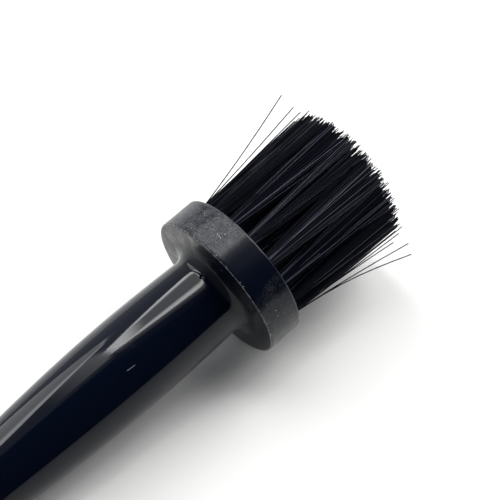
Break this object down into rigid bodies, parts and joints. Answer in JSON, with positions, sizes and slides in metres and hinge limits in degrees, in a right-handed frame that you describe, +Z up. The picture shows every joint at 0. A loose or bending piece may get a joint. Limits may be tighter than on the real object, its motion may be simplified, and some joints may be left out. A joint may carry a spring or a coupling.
{
  "type": "nut and bolt brush",
  "caption": "Round-headed hand brush with a swelling grip moulded in one with a thick flange, a ring of long stiff tufts round an open centre, and a flat tail with a hanging hole.",
  "frame": {"origin": "bottom centre of the brush's box as it lies on a table, on the back edge of its head and the end of its tail", "axes": "+X towards the tips of the bristles, with the brush's own axis leaning 7.1 degrees up from +X in the XZ plane; +Z up; +Y across"},
  "size_m": [0.2259, 0.0518, 0.0564],
  "materials": {
    "black_gloss_plastic": "injection-moulded polypropylene, glossy on the grip, scuffed and dusty on the head",
    "black_filament": "extruded synthetic filament, satin",
    "anchor_steel": "flat drawn wire"
  },
  "bodies": {
    "root": {"handle": "black_gloss_plastic", "tuft_outer_01": "black_filament", "tuft_outer_02": "black_filament", "tuft_outer_03": "black_filament", "tuft_outer_04": "black_filament", "tuft_outer_05": "black_filament", "tuft_outer_06": "black_filament", "tuft_outer_07": "black_filament", "tuft_outer_08": "black_filament", "tuft_outer_09": "black_filament", "tuft_outer_10": "black_filament", "tuft_outer_11": "black_filament", "tuft_outer_12": "black_filament", "tuft_outer_13": "black_filament", "tuft_outer_14": "black_filament", "tuft_outer_15": "black_filament", "tuft_outer_16": "black_filament", "tuft_inner_01": "black_filament", "tuft_inner_02": "black_filament", "tuft_inner_03": "black_filament", "tuft_inner_04": "black_filament", "tuft_inner_05": "black_filament", "tuft_inner_06": "black_filament", "tuft_inner_07": "black_filament", "tuft_inner_08": "black_filament", "tuft_inner_09": "black_filament", "tuft_inner_10": "black_filament", "tuft_inner_11": "black_filament", "anchor_outer_01": "anchor_steel", "anchor_outer_02": "anchor_steel", "anchor_outer_03": "anchor_steel", "anchor_outer_04": "anchor_steel", "anchor_outer_05": "anchor_steel", "anchor_outer_06": "anchor_steel", "anchor_outer_07": "anchor_steel", "anchor_outer_08": "anchor_steel", "anchor_outer_09": "anchor_steel", "anchor_outer_10": "anchor_steel", "anchor_outer_11": "anchor_steel", "anchor_outer_12": "anchor_steel", "anchor_outer_13": "anchor_steel", "anchor_outer_14": "anchor_steel", "anchor_outer_15": "anchor_steel", "anchor_outer_16": "anchor_steel", "anchor_inner_01": "anchor_steel", "anchor_inner_02": "anchor_steel", "anchor_inner_03": "anchor_steel", "anchor_inner_04": "anchor_steel", "anchor_inner_05": "anchor_steel", "anchor_inner_06": "anchor_steel", "anchor_inner_07": "anchor_steel", "anchor_inner_08": "anchor_steel", "anchor_inner_09": "anchor_steel", "anchor_inner_10": "anchor_steel", "anchor_inner_11": "anchor_steel"}
  },
  "joints": []
}
